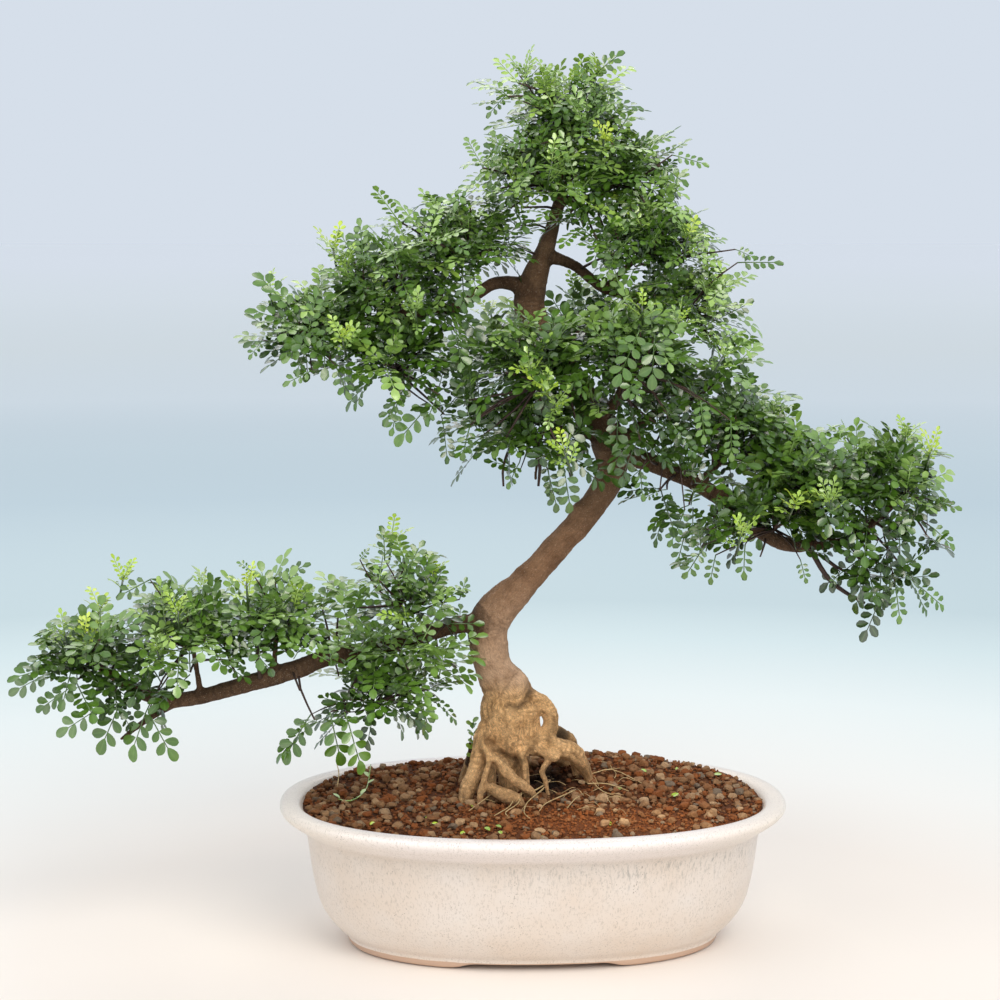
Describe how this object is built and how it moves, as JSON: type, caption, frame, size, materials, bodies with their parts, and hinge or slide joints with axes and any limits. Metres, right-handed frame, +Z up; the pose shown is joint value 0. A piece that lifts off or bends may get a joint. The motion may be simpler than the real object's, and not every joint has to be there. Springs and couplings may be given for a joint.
{
  "type": "potted bonsai tree",
  "caption": "Japanese pepper bonsai with a bent trunk, bare gnarled roots and layered sprays of small compound leaves, in a low oval cream-glazed pot filled with soil.",
  "frame": {"origin": "On the surface that the pot stands on, below the middle of the whole piece's bounding box.", "axes": "+X to the right along the pot's long side, +Y to the back, +Z up. The pictured front faces -Y."},
  "size_m": [0.737, 0.3, 0.6993],
  "materials": {
    "glaze": "glossy cream glaze with fine grey-brown speckles",
    "soil": "rough granular soil",
    "screen": "matte",
    "bark": "smooth greyish bark, fibrous at the roots",
    "leaf": "satin leaves",
    "young_leaf": "satin young leaves"
  },
  "bodies": {
    "root": {"pot": "glaze", "drain_screen_left": "screen", "drain_screen_right": "screen", "soil": "soil", "trunk_and_roots": "bark", "spray_low_left": "leaf", "spray_low_inner": "leaf", "spray_low_upright": "leaf", "spray_crown_left": "leaf", "spray_apex": "leaf", "spray_crown_right": "leaf", "spray_front": "leaf", "spray_centre_low": "leaf", "spray_centre_right": "leaf", "spray_back": "leaf", "spray_low_right": "leaf", "shoot_at_base": "young_leaf", "young_shoot_1": "young_leaf", "young_shoot_2": "young_leaf", "young_shoot_3": "young_leaf", "young_shoot_4": "young_leaf", "young_shoot_5": "young_leaf"}
  },
  "joints": []
}
